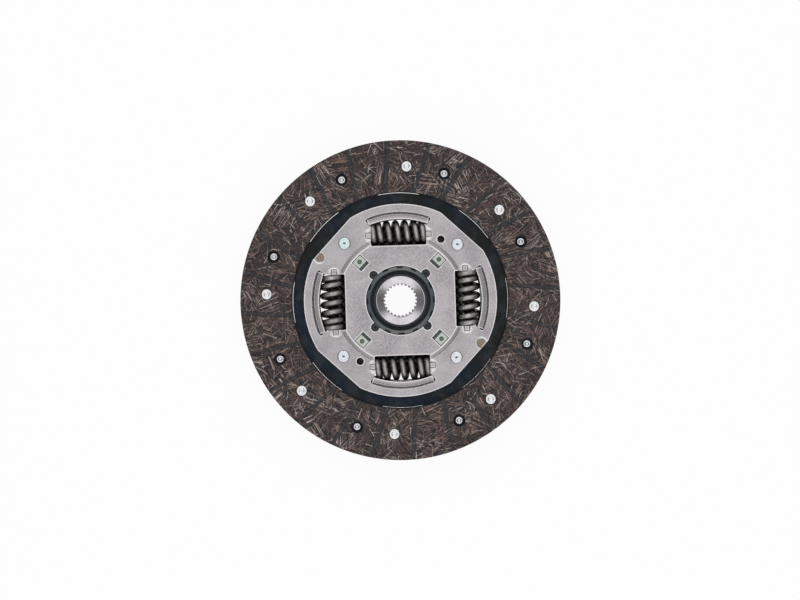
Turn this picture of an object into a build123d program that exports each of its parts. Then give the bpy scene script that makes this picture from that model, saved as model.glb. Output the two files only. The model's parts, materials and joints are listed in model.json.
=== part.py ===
from build123d import *
import os
from math import cos, degrees, pi, radians, sin, tan

# A 200 mm clutch disc with four damper springs, seen from its front face.
# All sizes are in millimetres. The origin lies on the hub's axis, in the middle of the
# thickness of the spring-steel carrier plate. +Z points out of the front face.
# Two springs lie across the X axis and two across the Y axis.
# The linings, the springs and the hub set the main sizes, and the rest follows from them.

# Gaps that many parts share
PART_GAP = 0.3              # between neighbours that don't touch
HOLE_PLAY = 0.1             # radial play round every rivet shank
RUB_GAP = 0.05              # from the turning flange to the parts that rub on it

# Friction linings
LINING_D = 200.0
LINING_BORE_D = 135.0
LINING_T = 3.5
LINING_EDGE_BEVEL = 0.3
GROOVE_COUNT = 24
GROOVE_W = 2.6
GROOVE_DEPTH = 0.7
GROOVE_OFFSET = 13.0        # each groove's centre line passes the axis at this distance
GROOVE_ANGLE = 10.2         # angle of the first groove about the axis

# Lining rivets: eight hold the front lining and eight hold the back one
RIVET_CIRCLE_R = (LINING_D + LINING_BORE_D) / 4
RIVET_COUNT = 8
FRONT_RIVET_ANGLE = -4.4
BACK_RIVET_ANGLE = 24.2
RIVET_SHANK_R = 1.9
RIVET_HEAD_R = 3.45
RIVET_HEAD_T = 0.8
RIVET_HEAD_DIP_R = 1.5
RIVET_HEAD_DIP = 0.3
RIVET_TAIL_R = 2.4
RIVET_TAIL_T = 0.8
RIVET_BORE_R = 1.0
RIVET_SEAT_DEPTH = 1.5      # from the lining's face down to the seat under the head
HEAD_PLAY = 0.2             # radial play round a rivet's head
TAIL_WINDOW_PLAY = 1.4      # from a rivet's tail to the hole in the other lining

# Damper springs
SPRING_COUNT = 4
SPRING_CIRCLE_R = 42.5
SPRING_L = 34.5
SPRING_D = 15.6
SPRING_WIRE_D = 3.9
SPRING_END_TURNS = 1.0
SPRING_MID_TURNS = 4.4
SPRING_END_PITCH = SPRING_WIRE_D + 0.05
SPRING_TIP_IN = 0.9         # from the flat end to the middle of the wire at its tip
COIL_POINTS = 10            # points of the wire's centre line to one turn

# Spring windows: the inner side touches the spring's gap, the outer side lies beyond it
WINDOW_PLAY = 0.1           # from a spring's end to its window's end
WINDOW_OUT_PLAY = 0.6       # from a spring's outer side to the plates' windows
WINDOW_CORNER_R = 0.8
WINDOW_L = SPRING_L + 2 * WINDOW_PLAY
WINDOW_IN_R = SPRING_CIRCLE_R - SPRING_D / 2 - PART_GAP
WINDOW_OUT_R = SPRING_CIRCLE_R + SPRING_D / 2 + WINDOW_OUT_PLAY

# Front and back damper plates
PLATE_T = 1.8
HOOD_W = 4.5                # from the window's outer side to the hood's foot
HOOD_R = WINDOW_OUT_R + HOOD_W
HOOD_RISE = 2.3
HOOD_HALF_ANGLE = 21.0
HOOD_WALL = 1.5
HOOD_SHOULDER_IN = 1.5      # from the hood's foot in to its shoulder
HOOD_SHOULDER_RISE = 1.7
HOOD_RELIEF_R = 1.0         # relief hole at each end of a hood
BACK_HOOD_REACH = 0.5       # how far the back hoods reach in beyond the front ones
PLATE_EDGE_W = 5.0          # from a hood's foot to the front plate's round edge
PLATE_R = HOOD_R + PLATE_EDGE_W
PLATE_FLAT_IN = 2.6         # how far the four flats cut into the round edge
PLATE_FLAT_ANGLE = 46.5
BACK_EDGE_W = 2.6
BACK_PLATE_R = HOOD_R + BACK_EDGE_W
FRONT_LAND_W = 4.6          # how far the front land reaches beyond the windows' inner side
FRONT_LAND_R = WINDOW_IN_R + FRONT_LAND_W
FRONT_LAND_RISE = 1.3
BACK_LAND_RISE = 2.5
BACK_LIP_WALL = 2.1
BACK_LIP_OPEN = 3.1         # from the springs' centre line in to the back lip's edge
LAND_STEP_ANGLE = 27.0
SEAT_MARK_R = 4.6
SEAT_MARK_DEPTH = 0.5
SEAT_MARK_SLOPE_W = 1.4     # width of the sloping edge round a mark
SEAT_KEY = 2.9
SEAT_MARK_IN = 1.4          # the marks lie this far inside the springs' centre line
JIG_HOLE_R = 2.3
JIG_HOLE_OUT = 3.3          # the jig holes lie this far outside the springs' centre line
JIG_HOLE_ANGLE = 54.7
EDGE_MARK_R = 3.2
EDGE_MARK_IN = 3.1          # from the plate's round edge to a mark's middle
EDGE_MARK_ANGLE = 150.5
EDGE_MARK_DEPTH = 0.6

# Square windows in the front plate, and the bosses that stand in them
BOSS_WINDOW_W = 7.3
BOSS_WINDOW_L = 7.9
BOSS_WINDOW_IN = 0.8        # from the land's edge to a square window
BOSS_WINDOW_OUT_R = FRONT_LAND_R - BOSS_WINDOW_IN
BOSS_WINDOW_IN_R = BOSS_WINDOW_OUT_R - BOSS_WINDOW_L
BOSS_SHORT = 1.9            # open part of the window on the hub's side of the boss
BOSS_PLAY = 0.25
BOSS_SINK = 0.5             # from the plate's face down to the top of a boss
BOSS_DIMPLE_R = 1.3
BOSS_DIMPLE_DEPTH = 0.7

# Stop rivets between the two plates
STOP_COUNT = 4
STOP_CIRCLE_IN = 0.9        # from the windows' outer side in to the rivets' circle
STOP_CIRCLE_R = WINDOW_OUT_R - STOP_CIRCLE_IN
STOP_ANGLE = 42.7
STOP_R = 4.6
STOP_TENON_R = 3.0
STOP_HEAD_R = 3.75
STOP_HEAD_T = 0.8
STOP_HEAD_BEVEL = 0.35
STOP_DOT_R = 0.5

# Carrier plate, with one paddle to each pair of lining rivets
CARRIER_T = 0.7
CARRIER_REACH = 7.5         # from the stop rivets' circle in to the carrier's bore
CARRIER_BORE_R = STOP_CIRCLE_R - CARRIER_REACH
PADDLE_TIP_IN = 2.5         # from the linings' outer edge in to the paddles' tips
PADDLE_TIP_R = LINING_D / 2 - PADDLE_TIP_IN
PADDLE_COUNT = 8
PADDLE_ANGLE = -0.7         # angle of the first slot under the linings' inner edge
PADDLE_SLOT_HALF_ANGLE = 10.5
PADDLE_SLOT_W = 2.6
PADDLE_SLOT_SHOW = 0.35     # how far the slot reaches inside the linings' bore
PADDLE_GAP_W = 3.0
PADDLE_GAP_ANGLE = 2.5      # from the slot's middle to the gap between two paddles

# Hub
HUB_R = 15.5
HUB_FRONT_Z = 6.5
HUB_BACK_Z = -17.5
FLANGE_REACH = 5.2          # from the stop rivets' circle out to the flange's edge
FLANGE_R = STOP_CIRCLE_R + FLANGE_REACH
FLANGE_T = 6.0
NOTCH_PLAY = 0.4            # from a stop rivet to the bottom of its notch
SPLINE_TEETH = 26
SPLINE_TIP_R = 9.55
SPLINE_TOOTH_H = 0.95
SPLINE_ROOT_R = SPLINE_TIP_R + SPLINE_TOOTH_H
SPLINE_TIP_SHARE = 0.36     # share of the pitch that a tooth's tip takes
SPLINE_ROOT_SHARE = 0.62    # share of the pitch that a tooth takes at its root
LEAD_IN_WALL = 0.6          # left of the hub's wall round the wide end of the lead-in
LEAD_IN_R = HUB_R - LEAD_IN_WALL
LEAD_IN_DEPTH = 1.7
BACK_LEAD_IN = 1.0
HUB_EDGE_BEVEL = 0.3
TRAVEL_UP_ANGLE = 12.0      # how far the disc can turn anticlockwise about the hub
TRAVEL_DOWN_ANGLE = 7.5     # how far it can turn clockwise
STOP_GAP = 0.3              # left between a stop rivet and the flange at full travel

# Bush and washer between the hub and the front plate
HUB_FIT = 0.05              # radial play of the bush on the hub
BUSH_W = 5.9
BUSH_R = HUB_R + BUSH_W
BUSH_PLAY = 0.2             # radial play of the bush in the front plate
PLATE_BORE_R = BUSH_R + BUSH_PLAY
WASHER_IN = 1.0             # from the springs' windows in to the washer's edge
WASHER_OUT_R = WINDOW_IN_R - WASHER_IN
BUSH_FOOT_SHARE = 0.37      # the foot's share of the room between the bush and that edge
BUSH_FOOT_R = BUSH_R + BUSH_FOOT_SHARE * (WASHER_OUT_R - BUSH_R)
BUSH_RIM_IN = 0.5           # from the bush's side in to the rim's outer edge
BUSH_RIM_OUT_R = BUSH_R - BUSH_RIM_IN
BUSH_RIM_W = 2.4
BUSH_RIM_IN_R = BUSH_RIM_OUT_R - BUSH_RIM_W
BUSH_RIM_RISE = 0.9
BUSH_CONE_DROP = 2.6
BUSH_CONE_OUT = 1.1         # from the hub out to the foot of the bush's cone
BUSH_CONE_R = HUB_R + BUSH_CONE_OUT
LUG_OUT = 1.5               # from the plate's bore out to a lug's middle
LUG_CIRCLE_R = PLATE_BORE_R + LUG_OUT
LUG_R = 2.4
LUG_RISE = 0.4
LUG_PLAY = 0.25
LUG_NECK_W = 3.4
LUG_DIMPLE_R = 0.8
LUG_DIMPLE_DEPTH = 0.8
DASH_W = 3.2
DASH_L = 0.7                # how far a dash reaches in from the bush's side
DASH_DEPTH = 1.0
DASH_ANGLES = (-25.0, 0.0, 25.0)

# Friction parts behind the flange, each with its play round the hub and its width
BACK_RING_PLAY = 0.4
BACK_RING_IN_R = HUB_R + BACK_RING_PLAY
BACK_RING_W = 11.1
BACK_RING_R = BACK_RING_IN_R + BACK_RING_W
BACK_RING_T = 1.5
PRESS_RING_PLAY = 0.9
PRESS_RING_IN_R = HUB_R + PRESS_RING_PLAY
PRESS_RING_W = 9.8
PRESS_RING_R = PRESS_RING_IN_R + PRESS_RING_W
PRESS_RING_T = 0.8
CONE_WASHER_PLAY = 1.9
CONE_WASHER_IN_R = HUB_R + CONE_WASHER_PLAY
CONE_WASHER_W = 8.0
CONE_WASHER_R = CONE_WASHER_IN_R + CONE_WASHER_W
CONE_WASHER_T = 0.6
BACK_BORE_PLAY = 1.5
BACK_PLATE_BORE_R = HUB_R + BACK_BORE_PLAY
BACK_LAND_W = 3.0           # how far the back land reaches beyond the friction ring
BACK_LAND_R = BACK_RING_R + BACK_LAND_W

# Heights
SHEET_GAP = 0.6             # from the flange to the carrier plate
BACK_SHEET_GAP = 1.2        # from the flange to the back plate
CARRIER_TOP = CARRIER_T / 2
LINING_FACE = CARRIER_TOP + LINING_T
RIVET_SEAT_Z = LINING_FACE - RIVET_SEAT_DEPTH
FRONT_TOP = CARRIER_TOP + PLATE_T
FRONT_LAND_UNDER = CARRIER_TOP + FRONT_LAND_RISE
FRONT_LAND_TOP = FRONT_LAND_UNDER + PLATE_T
FLANGE_TOP = -CARRIER_TOP - SHEET_GAP
FLANGE_BOTTOM = FLANGE_TOP - FLANGE_T
SPRING_Z = (FLANGE_TOP + FLANGE_BOTTOM) / 2
BACK_IN = FLANGE_BOTTOM - BACK_SHEET_GAP
BACK_LAND_IN = BACK_IN - BACK_LAND_RISE
BACK_RING_TOP = FLANGE_BOTTOM - RUB_GAP
PRESS_RING_TOP = BACK_RING_TOP - BACK_RING_T
CONE_WASHER_TOP = PRESS_RING_TOP - PRESS_RING_T
DIAGONAL_ANGLE = 45.0
CUT = 1.0                   # how far a cutting body reaches past the faces that it cuts


def spaced(count, start=0.0):
    """Angles of evenly spaced copies round the axis."""
    return [start + 360.0 / count * i for i in range(count)]


def at(radius, turn, z=0.0):
    """A place at a radius and an angle, with its X axis pointing outwards."""
    return Rot(0, 0, turn) * Pos(radius, 0, z)


def section(points):
    """A flat section in the XZ plane, given as radius and height."""
    return make_face(Plane.XZ * Polyline(*points, close=True))


def turned(points):
    return revolve(section(points), Axis.Z)


def sector(face, middle, half):
    """The part of a turned section that reaches half an angle each side of middle."""
    return Rot(0, 0, middle - half) * revolve(face, Axis.Z, revolution_arc=2 * half)


def ring(inner, outer, low, high):
    return turned([(inner, low), (outer, low), (outer, high), (inner, high)])


def ring_sector(inner, outer, low, high, middle, half):
    return sector(section([(inner, low), (outer, low), (outer, high), (inner, high)]), middle, half)


def pin(radius, low, high):
    return Pos(0, 0, (low + high) / 2) * Cylinder(radius, high - low)


def block(start, end, width, low, high):
    """A box from one distance along X to another, centred on the X axis."""
    return Pos((start + end) / 2, 0, (low + high) / 2) * Box(end - start, width, high - low)


def behind(shape):
    """The same shape on the back side of the carrier plate."""
    return mirror(shape, Plane.XY)


def window_outline(margin=0.0):
    """The straight-sided window of the spring on the +X axis, in the flange and the carrier."""
    outer = SPRING_CIRCLE_R + SPRING_D / 2 + PART_GAP + margin
    inner = WINDOW_IN_R - margin
    return Pos((inner + outer) / 2, 0) * Rectangle(outer - inner, WINDOW_L + 2 * margin)


def window_cutter(outline, low, high):
    rounded = fillet(outline.vertices(), WINDOW_CORNER_R)
    return Pos(0, 0, low) * extrude(rounded, high - low)


def lining():
    """The front lining, with grooves across its face and two kinds of rivet hole."""
    outer = LINING_D / 2
    inner = LINING_BORE_D / 2
    bevel = LINING_EDGE_BEVEL
    blank = turned([
        (inner, CARRIER_TOP), (outer, CARRIER_TOP), (outer, LINING_FACE - bevel),
        (outer - bevel, LINING_FACE), (inner + bevel, LINING_FACE), (inner, LINING_FACE - bevel),
    ])
    high = LINING_FACE + CUT
    groove = Pos(0, GROOVE_OFFSET) * block(
        inner / 2, outer + CUT, GROOVE_W, LINING_FACE - GROOVE_DEPTH, high)
    cutters = [Rot(0, 0, turn) * groove for turn in spaced(GROOVE_COUNT, GROOVE_ANGLE)]
    for turn in spaced(RIVET_COUNT, FRONT_RIVET_ANGLE):
        cutters.append(at(RIVET_CIRCLE_R, turn) * pin(RIVET_SHANK_R + HOLE_PLAY, 0, high))
        cutters.append(at(RIVET_CIRCLE_R, turn) * pin(RIVET_HEAD_R + HEAD_PLAY, RIVET_SEAT_Z, high))
    for turn in spaced(RIVET_COUNT, BACK_RIVET_ANGLE):
        cutters.append(at(RIVET_CIRCLE_R, turn) * pin(RIVET_TAIL_R + TAIL_WINDOW_PLAY, 0, high))
    return blank - cutters


def back_lining():
    """The front lining turned over, with its rivet holes in the other order."""
    turn = FRONT_RIVET_ANGLE + BACK_RIVET_ANGLE
    return Rot(0, 0, turn) * mirror(mirror(lining(), Plane.XZ), Plane.XY)


def lining_rivet():
    """A semi-tubular rivet: flat head in the lining, tail rolled over behind the carrier."""
    head_top = RIVET_SEAT_Z + RIVET_HEAD_T
    tail_end = -CARRIER_TOP - RIVET_TAIL_T
    body = pin(RIVET_SHANK_R, tail_end, head_top)
    body += pin(RIVET_HEAD_R, RIVET_SEAT_Z, head_top)
    body += pin(RIVET_TAIL_R, tail_end, -CARRIER_TOP)
    body -= pin(RIVET_HEAD_DIP_R, head_top - RIVET_HEAD_DIP, head_top + CUT)
    return body - pin(RIVET_BORE_R, tail_end - CUT, 0)


def rivet_circle(rivet, start):
    return [at(RIVET_CIRCLE_R, turn) * rivet for turn in spaced(RIVET_COUNT, start)]


def carrier_plate():
    """Thin plate whose outer part is cut into paddles between the two linings."""
    plate = ring(CARRIER_BORE_R, PADDLE_TIP_R, -CARRIER_TOP, CARRIER_TOP)
    low = -CARRIER_TOP - CUT
    high = CARRIER_TOP + CUT
    slot_in = LINING_BORE_D / 2 - PADDLE_SLOT_SHOW
    slot_mid = slot_in + PADDLE_SLOT_W / 2
    cutters = []
    for turn in spaced(PADDLE_COUNT, PADDLE_ANGLE):
        cutters.append(ring_sector(
            slot_in, slot_in + PADDLE_SLOT_W, low, high, turn, PADDLE_SLOT_HALF_ANGLE))
        for side in (-PADDLE_SLOT_HALF_ANGLE, PADDLE_SLOT_HALF_ANGLE):
            cutters.append(at(slot_mid, turn + side) * pin(PADDLE_SLOT_W / 2, low, high))
        gap = block(slot_mid, PADDLE_TIP_R + CUT, PADDLE_GAP_W, low, high)
        cutters.append(Rot(0, 0, turn + PADDLE_GAP_ANGLE) * gap)
    for start in (FRONT_RIVET_ANGLE, BACK_RIVET_ANGLE):
        cutters += rivet_circle(pin(RIVET_SHANK_R + HOLE_PLAY, low, high), start)
    for turn in spaced(STOP_COUNT, STOP_ANGLE):
        cutters.append(at(STOP_CIRCLE_R, turn) * pin(STOP_TENON_R + HOLE_PLAY, low, high))
    for turn in spaced(2, JIG_HOLE_ANGLE):
        cutters.append(at(SPRING_CIRCLE_R + JIG_HOLE_OUT, turn) * pin(JIG_HOLE_R, low, high))
    for turn in spaced(SPRING_COUNT):
        cutters.append(Rot(0, 0, turn) * window_cutter(window_outline(PART_GAP), low, high))
    return plate - cutters


def dished_plate(bore, land_r, rise, outer, under):
    """A pressed sheet with a raised land: under is the height of its outer zone's lower face."""
    run = rise / tan(radians(LAND_STEP_ANGLE))
    shift = PLATE_T * tan(radians(LAND_STEP_ANGLE / 2))
    top = under + PLATE_T
    return turned([
        (bore, under + rise), (land_r - shift, under + rise), (land_r - shift + run, under),
        (outer, under), (outer, top), (land_r + run, top), (land_r, top + rise), (bore, top + rise),
    ])


def hood(under, edge_r):
    """The pressed lip round the outer side of the +X window: a steep side and a flatter top."""
    top = under + PLATE_T
    shoulder_r = HOOD_R - HOOD_SHOULDER_IN
    shoulder = top + HOOD_SHOULDER_RISE
    outline = section([
        (HOOD_R, under), (HOOD_R, top), (shoulder_r, shoulder), (edge_r, top + HOOD_RISE),
        (edge_r, top + HOOD_RISE - HOOD_WALL), (shoulder_r - HOOD_WALL / 2, shoulder - HOOD_WALL),
        (HOOD_R - HOOD_WALL, under),
    ])
    return sector(outline, 0.0, HOOD_HALF_ANGLE)


def back_lip(under):
    """The rounded lip that guides the +X spring along the inner side of the back plate's window."""
    inner = SPRING_D / 2 + PART_GAP
    tube = Cylinder(inner + BACK_LIP_WALL, WINDOW_L) - Cylinder(inner, WINDOW_L)
    tube = Pos(SPRING_CIRCLE_R, 0, -SPRING_Z) * Rot(90, 0, 0) * tube
    end = SPRING_CIRCLE_R - BACK_LIP_OPEN
    return tube & block(WINDOW_IN_R - CUT, end, WINDOW_L, under, under + PLATE_T + BACK_LAND_RISE)


def damper_plate(plate, under, hood_edge_r):
    """Cuts a plate's spring windows and rivet holes, and raises its hoods."""
    low = under - CUT
    high = under + PLATE_T + CUT + max(FRONT_LAND_RISE, BACK_LAND_RISE)
    cutters = []
    hoods = []
    outline = window_outline() & Circle(WINDOW_OUT_R)
    for turn in spaced(SPRING_COUNT):
        cutters.append(Rot(0, 0, turn) * window_cutter(outline, low, high))
        cutters.append(ring_sector(
            WINDOW_OUT_R - CUT, HOOD_R - HOOD_WALL, low, high, turn, HOOD_HALF_ANGLE))
        hoods.append(Rot(0, 0, turn) * hood(under, hood_edge_r))
        for side in (-HOOD_HALF_ANGLE, HOOD_HALF_ANGLE):
            relief = at(HOOD_R - HOOD_SHOULDER_IN, turn + side) * pin(HOOD_RELIEF_R, low, high)
            cutters.append(relief)
    for turn in spaced(STOP_COUNT, STOP_ANGLE):
        cutters.append(at(STOP_CIRCLE_R, turn) * pin(STOP_TENON_R + HOLE_PLAY, low, high))
    return plate - cutters + hoods


def plate_outline(low, high):
    """The front plate's outline: a circle with four flats."""
    flat_r = PLATE_R - PLATE_FLAT_IN
    square = Rot(0, 0, PLATE_FLAT_ANGLE) * Rectangle(2 * flat_r, 2 * flat_r)
    return Pos(0, 0, low) * extrude(Circle(PLATE_R) & square, high - low)


def seat_mark(side):
    """Shallow half-round press mark at one end of the +X window, with a square key left in it."""
    end = side * WINDOW_L / 2
    place = SPRING_CIRCLE_R - SEAT_MARK_IN
    low = FRONT_TOP - SEAT_MARK_DEPTH
    high = FRONT_TOP + CUT
    mark = Pos(place, end) * turned([
        (0, low), (SEAT_MARK_R - SEAT_MARK_SLOPE_W, low), (SEAT_MARK_R, FRONT_TOP),
        (SEAT_MARK_R, high), (0, high),
    ])
    key = Pos(place, end + side * SEAT_KEY / 2) * block(-SEAT_KEY / 2, SEAT_KEY / 2, SEAT_KEY, low, high)
    return mark - key


def front_plate():
    low = CARRIER_TOP - CUT
    high = FRONT_LAND_TOP + CUT
    plate = dished_plate(PLATE_BORE_R, FRONT_LAND_R, FRONT_LAND_RISE, PLATE_R + CUT, CARRIER_TOP)
    plate = damper_plate(plate, CARRIER_TOP, WINDOW_OUT_R) & plate_outline(low, high + HOOD_RISE)
    cutters = []
    for turn in spaced(SPRING_COUNT):
        cutters += [Rot(0, 0, turn) * seat_mark(side) for side in (-1, 1)]
        diagonal = Rot(0, 0, turn + DIAGONAL_ANGLE)
        cutters.append(diagonal * block(BOSS_WINDOW_IN_R, BOSS_WINDOW_OUT_R, BOSS_WINDOW_W, low, high))
        cutters.append(diagonal * Pos(LUG_CIRCLE_R, 0) * pin(LUG_R + LUG_PLAY, low, high))
        neck = block(PLATE_BORE_R - CUT, LUG_CIRCLE_R, LUG_NECK_W + 2 * LUG_PLAY, low, high)
        cutters.append(diagonal * neck)
    for turn in spaced(2, JIG_HOLE_ANGLE):
        cutters.append(at(SPRING_CIRCLE_R + JIG_HOLE_OUT, turn) * pin(JIG_HOLE_R, low, high))
    for turn in spaced(2, EDGE_MARK_ANGLE):
        mark = pin(EDGE_MARK_R, FRONT_TOP - EDGE_MARK_DEPTH, high)
        cutters.append(at(PLATE_R - EDGE_MARK_IN, turn) * mark)
    return plate - cutters


def back_plate():
    under = -BACK_IN
    plate = dished_plate(BACK_PLATE_BORE_R, BACK_LAND_R, BACK_LAND_RISE, BACK_PLATE_R, under)
    lips = [Rot(0, 0, turn) * back_lip(under) for turn in spaced(SPRING_COUNT)]
    return behind(damper_plate(plate, under, WINDOW_OUT_R - BACK_HOOD_REACH) + lips)


def stop_rivet():
    """A shouldered pin that holds the plates apart and stops the flange."""
    back_face = BACK_IN - PLATE_T
    front_head = FRONT_TOP + STOP_HEAD_T
    back_head = back_face - STOP_HEAD_T
    bevel = STOP_HEAD_BEVEL
    body = turned([
        (0, back_head), (STOP_HEAD_R - bevel, back_head), (STOP_HEAD_R, back_head + bevel),
        (STOP_HEAD_R, back_face), (STOP_TENON_R, back_face), (STOP_TENON_R, BACK_IN),
        (STOP_R, BACK_IN), (STOP_R, -CARRIER_TOP), (STOP_TENON_R, -CARRIER_TOP),
        (STOP_TENON_R, FRONT_TOP), (STOP_HEAD_R, FRONT_TOP), (STOP_HEAD_R, front_head - bevel),
        (STOP_HEAD_R - bevel, front_head), (0, front_head),
    ])
    return body - pin(STOP_DOT_R, front_head - STOP_DOT_R, front_head + CUT)


def coil():
    """A compression spring along Z with closed ends that are ground flat."""
    end_l = SPRING_END_TURNS * SPRING_END_PITCH
    mid_l = SPRING_L - 2 * (SPRING_TIP_IN + end_l)
    turns = 2 * SPRING_END_TURNS + SPRING_MID_TURNS
    mean_r = (SPRING_D - SPRING_WIRE_D) / 2
    points = []
    count = round(turns * COIL_POINTS)
    for i in range(count + 1):
        turn = turns * i / count
        mid = min(max(turn - SPRING_END_TURNS, 0), SPRING_MID_TURNS)
        height = SPRING_TIP_IN + (turn - mid) * SPRING_END_PITCH + mid * mid_l / SPRING_MID_TURNS
        angle = 2 * pi * turn
        points.append((mean_r * cos(angle), mean_r * sin(angle), height))
    path = Spline(*points)
    wire_end = Plane(origin=path @ 0, z_dir=path % 0)
    wire = sweep(wire_end * Circle(SPRING_WIRE_D / 2), path=path, is_frenet=True)
    return wire & pin(SPRING_D, 0, SPRING_L)


def spring(turn):
    middle = Pos(0, 0, -SPRING_L / 2) * Rot(0, 0, 180) * coil()
    return at(SPRING_CIRCLE_R, turn, SPRING_Z) * Rot(-90, 0, 0) * middle


def spline_bore(low, high):
    """Cutter for the splined bore: a circle at the roots, less the teeth."""
    pitch = 2 * pi / SPLINE_TEETH
    tip_half = SPLINE_TIP_R * pitch * SPLINE_TIP_SHARE / 2
    root_half = SPLINE_ROOT_R * pitch * SPLINE_ROOT_SHARE / 2
    tooth = make_face(Polyline(
        (SPLINE_TIP_R, -tip_half), (SPLINE_ROOT_R + CUT, -root_half),
        (SPLINE_ROOT_R + CUT, root_half), (SPLINE_TIP_R, tip_half), close=True))
    teeth = [Rot(0, 0, turn) * tooth for turn in spaced(SPLINE_TEETH)]
    return Pos(0, 0, low) * extrude(Circle(SPLINE_ROOT_R) - teeth, high - low)


def stop_notch(low, high):
    """Cutter for the flange's notch, as wide as a stop rivet's travel and its own width."""
    middle = STOP_ANGLE + (TRAVEL_UP_ANGLE - TRAVEL_DOWN_ANGLE) / 2
    half = (TRAVEL_UP_ANGLE + TRAVEL_DOWN_ANGLE) / 2 + degrees((STOP_R + STOP_GAP) / STOP_CIRCLE_R)
    return ring_sector(STOP_CIRCLE_R - STOP_R - NOTCH_PLAY, FLANGE_R + CUT, low, high, middle, half)


def hub():
    """The splined hub, forged in one piece with its flange."""
    bevel = HUB_EDGE_BEVEL
    body = turned([
        (0, HUB_BACK_Z), (HUB_R - bevel, HUB_BACK_Z), (HUB_R, HUB_BACK_Z + bevel),
        (HUB_R, FLANGE_BOTTOM), (FLANGE_R, FLANGE_BOTTOM), (FLANGE_R, FLANGE_TOP),
        (HUB_R, FLANGE_TOP), (HUB_R, HUB_FRONT_Z - bevel), (HUB_R - bevel, HUB_FRONT_Z),
        (0, HUB_FRONT_Z),
    ])
    low = FLANGE_BOTTOM - CUT
    high = FLANGE_TOP + CUT
    cutters = []
    for turn in spaced(SPRING_COUNT):
        cutters.append(Rot(0, 0, turn) * window_cutter(window_outline(), low, high))
        cutters.append(Rot(0, 0, turn) * stop_notch(low, high))
    body = body - cutters - spline_bore(HUB_BACK_Z - CUT, HUB_FRONT_Z + CUT)
    lead_in_z = HUB_FRONT_Z - LEAD_IN_DEPTH
    body -= turned([
        (0, lead_in_z), (SPLINE_ROOT_R, lead_in_z), (LEAD_IN_R, HUB_FRONT_Z),
        (LEAD_IN_R, HUB_FRONT_Z + CUT), (0, HUB_FRONT_Z + CUT),
    ])
    return body - turned([
        (0, HUB_BACK_Z + BACK_LEAD_IN), (SPLINE_TIP_R, HUB_BACK_Z + BACK_LEAD_IN),
        (SPLINE_ROOT_R + BACK_LEAD_IN, HUB_BACK_Z), (SPLINE_ROOT_R + BACK_LEAD_IN, HUB_BACK_Z - CUT),
        (0, HUB_BACK_Z - CUT),
    ])


def front_bush():
    """The dark bush that centres the hub, held by four lugs in the front plate's bore."""
    inner = HUB_R + HUB_FIT
    foot = FLANGE_TOP + RUB_GAP
    rim = FRONT_LAND_TOP + BUSH_RIM_RISE
    bush = turned([
        (inner, foot), (BUSH_FOOT_R, foot), (BUSH_FOOT_R, FRONT_LAND_UNDER),
        (BUSH_R, FRONT_LAND_UNDER), (BUSH_R, FRONT_LAND_TOP), (BUSH_RIM_OUT_R, rim),
        (BUSH_RIM_IN_R, rim), (BUSH_CONE_R, rim - BUSH_CONE_DROP), (inner, rim - BUSH_CONE_DROP),
    ])
    lug_top = FRONT_LAND_TOP + LUG_RISE
    pocket = block(BUSH_R - DASH_L, BUSH_R + CUT, DASH_W, FRONT_LAND_TOP - DASH_DEPTH, rim + CUT)
    for turn in spaced(SPRING_COUNT, DIAGONAL_ANGLE):
        neck = block(BUSH_RIM_OUT_R, LUG_CIRCLE_R, LUG_NECK_W, FRONT_LAND_UNDER, lug_top)
        bush += at(LUG_CIRCLE_R, turn) * pin(LUG_R, FRONT_LAND_UNDER, lug_top)
        bush += Rot(0, 0, turn) * neck
        bush -= at(LUG_CIRCLE_R, turn) * pin(LUG_DIMPLE_R, lug_top - LUG_DIMPLE_DEPTH, lug_top + CUT)
    for turn in spaced(SPRING_COUNT):
        for dash in DASH_ANGLES:
            bush -= Rot(0, 0, turn + dash) * pocket
    return bush


def friction_washer():
    """The ring that rubs on the flange, with four bosses in the front plate's square windows."""
    foot = FLANGE_TOP + RUB_GAP
    boss_top = FRONT_LAND_TOP - BOSS_SINK
    boss_out = BOSS_WINDOW_OUT_R - BOSS_PLAY
    boss_in = BOSS_WINDOW_IN_R + BOSS_SHORT
    boss_w = BOSS_WINDOW_W - 2 * BOSS_PLAY
    washer = ring(BUSH_FOOT_R + PART_GAP, WASHER_OUT_R, foot, FRONT_LAND_UNDER)
    for turn in spaced(SPRING_COUNT, DIAGONAL_ANGLE):
        washer += Rot(0, 0, turn) * block(boss_in, boss_out, boss_w, foot, boss_top)
        dimple = pin(BOSS_DIMPLE_R, boss_top - BOSS_DIMPLE_DEPTH, boss_top + CUT)
        washer -= at((boss_in + boss_out) / 2, turn) * dimple
    return washer


def cone_washer():
    """The conical spring washer that presses the friction parts together."""
    return turned([
        (CONE_WASHER_IN_R, CONE_WASHER_TOP), (CONE_WASHER_IN_R, CONE_WASHER_TOP - CONE_WASHER_T),
        (CONE_WASHER_R, BACK_LAND_IN), (CONE_WASHER_R, BACK_LAND_IN + CONE_WASHER_T),
    ])


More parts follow.
